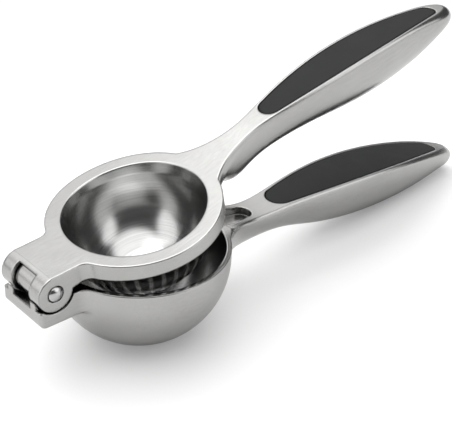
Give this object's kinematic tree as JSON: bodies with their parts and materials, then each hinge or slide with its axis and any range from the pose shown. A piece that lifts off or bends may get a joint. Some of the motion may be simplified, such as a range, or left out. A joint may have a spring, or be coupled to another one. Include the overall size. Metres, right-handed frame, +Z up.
{
  "type": "hinged lemon squeezer",
  "caption": "Two-armed hand press: a fluted press cup hinged over a drained bowl, with long crowned handles and soft inlaid grips.",
  "frame": {"origin": "centre of the flat foot under the bowl, on the surface the squeezer stands on", "axes": "+X from the bowl towards the handle ends, +Y along the hinge pin, +Z up from the surface"},
  "size_m": [0.2485, 0.0738, 0.0909],
  "materials": {
    "satin_steel": "fine satin-brushed cast stainless steel",
    "pin_steel": "turned stainless rivet, domed heads polished",
    "grip_rubber": "matt black soft-touch rubber with a fine even grain"
  },
  "bodies": {
    "lower": {"lower_arm": "satin_steel", "lower_grip": "grip_rubber", "hinge_pin": "pin_steel"},
    "upper": {"upper_arm": "satin_steel", "upper_grip": "grip_rubber"}
  },
  "joints": [
    {"name": "hinge", "type": "hinge", "parent": "lower", "child": "upper", "pos_m": [-0.04703, 0, 0.04496], "axis": [0, -1, 0], "range_deg": [-11, 115]}
  ]
}
